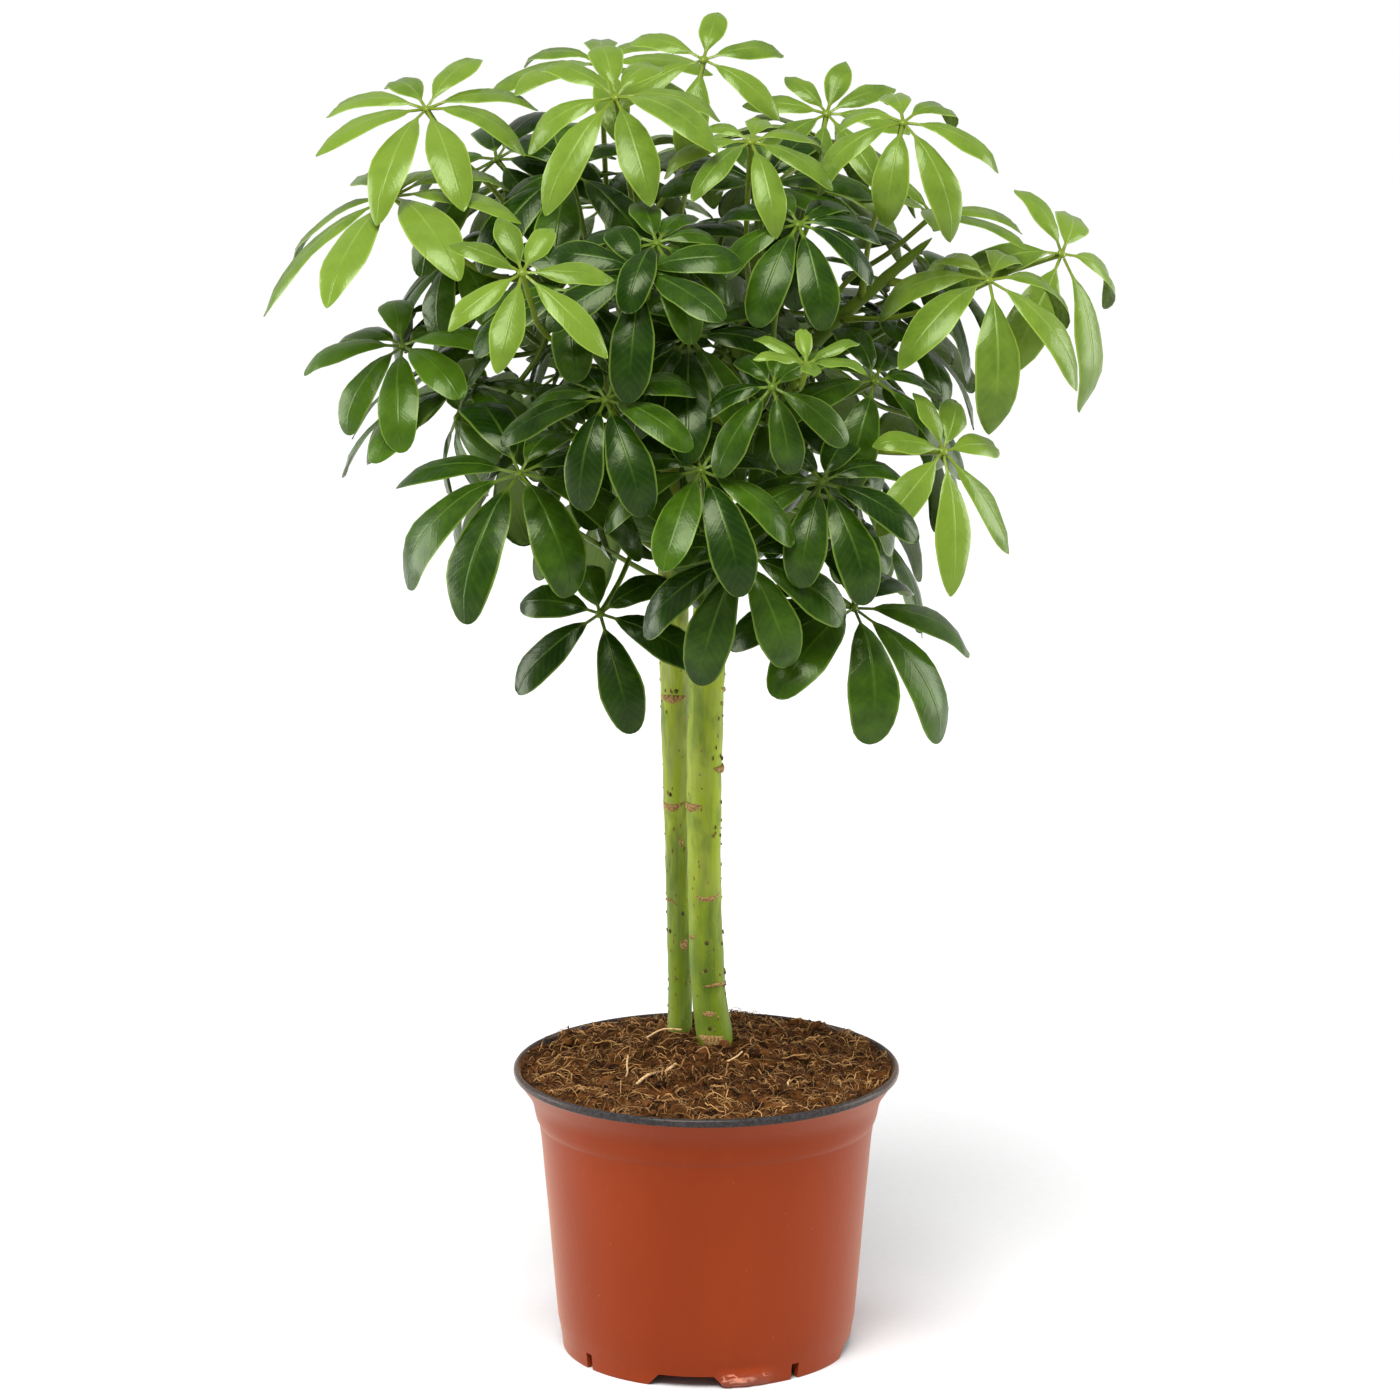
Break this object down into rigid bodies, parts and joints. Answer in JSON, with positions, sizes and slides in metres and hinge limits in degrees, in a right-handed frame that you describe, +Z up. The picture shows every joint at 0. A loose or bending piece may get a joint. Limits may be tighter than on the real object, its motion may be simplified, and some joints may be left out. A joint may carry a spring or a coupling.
{
  "type": "potted umbrella plant",
  "caption": "Small umbrella tree with compound leaves of spreading leaflets, grown as a round head on bare green trunks, in a soil-filled round plastic nursery pot with a flared rim",
  "frame": {"origin": "centre of the pot's flat foot, on the surface it stands on", "axes": "+Z up along the trunks, -Y towards the viewer of the picture, +X to that viewer's right"},
  "size_m": [0.2983, 0.2629, 0.4869],
  "materials": {
    "pot_plastic": "satin terracotta-coloured plastic, dark grey inside and on the lip",
    "soil": "fibrous peat and coir potting soil",
    "trunk_right": "smooth green bark with tan leaf scars",
    "trunk_left": "smooth green bark with tan leaf scars",
    "leaf_young": "satin light green young leaf",
    "leaf_grown": "glossy dark green leaf with a paler underside"
  },
  "bodies": {
    "root": {"leaf_back_1": "leaf_grown", "leaf_back_10": "leaf_grown", "leaf_back_11": "leaf_grown", "leaf_back_12": "leaf_grown", "leaf_back_13": "leaf_grown", "leaf_back_14": "leaf_young", "leaf_back_15": "leaf_young", "leaf_back_16": "leaf_young", "leaf_back_17": "leaf_young", "leaf_back_18": "leaf_young", "leaf_back_2": "leaf_grown", "leaf_back_3": "leaf_grown", "leaf_back_4": "leaf_grown", "leaf_back_5": "leaf_grown", "leaf_back_6": "leaf_grown", "leaf_back_7": "leaf_grown", "leaf_back_8": "leaf_grown", "leaf_back_9": "leaf_grown", "leaf_centre": "leaf_grown", "leaf_far_right": "leaf_young", "leaf_front_bright": "leaf_young", "leaf_inner_left": "leaf_grown", "leaf_inner_left_low": "leaf_grown", "leaf_inner_middle": "leaf_grown", "leaf_inner_right": "leaf_grown", "leaf_inner_top": "leaf_grown", "leaf_left_behind": "leaf_grown", "leaf_left_big": "leaf_grown", "leaf_left_dark": "leaf_grown", "leaf_left_high": "leaf_young", "leaf_left_low": "leaf_grown", "leaf_left_mid": "leaf_grown", "leaf_left_mid_up": "leaf_grown", "leaf_low_centre": "leaf_grown", "leaf_low_left": "leaf_grown", "leaf_low_right": "leaf_grown", "leaf_low_right_behind": "leaf_grown", "leaf_mid_left": "leaf_grown", "leaf_mid_right": "leaf_grown", "leaf_right_behind": "leaf_grown", "leaf_right_high": "leaf_young", "leaf_right_light": "leaf_young", "leaf_right_mid": "leaf_grown", "leaf_shoot_tip": "leaf_young", "leaf_top": "leaf_young", "leaf_top_back_left": "leaf_young", "leaf_top_left": "leaf_young", "leaf_top_left_mid": "leaf_young", "leaf_top_mid_right": "leaf_young", "leaf_top_right": "leaf_young", "leaf_top_right_back": "leaf_young", "leaf_upper_centre": "leaf_grown", "leaf_upper_centre_low": "leaf_grown", "leaf_upper_left": "leaf_grown", "leaf_upper_right": "leaf_grown", "leaf_young_front": "leaf_young", "pot": "pot_plastic", "soil": "soil", "trunk_left": "trunk_left", "trunk_right": "trunk_right"}
  },
  "joints": []
}
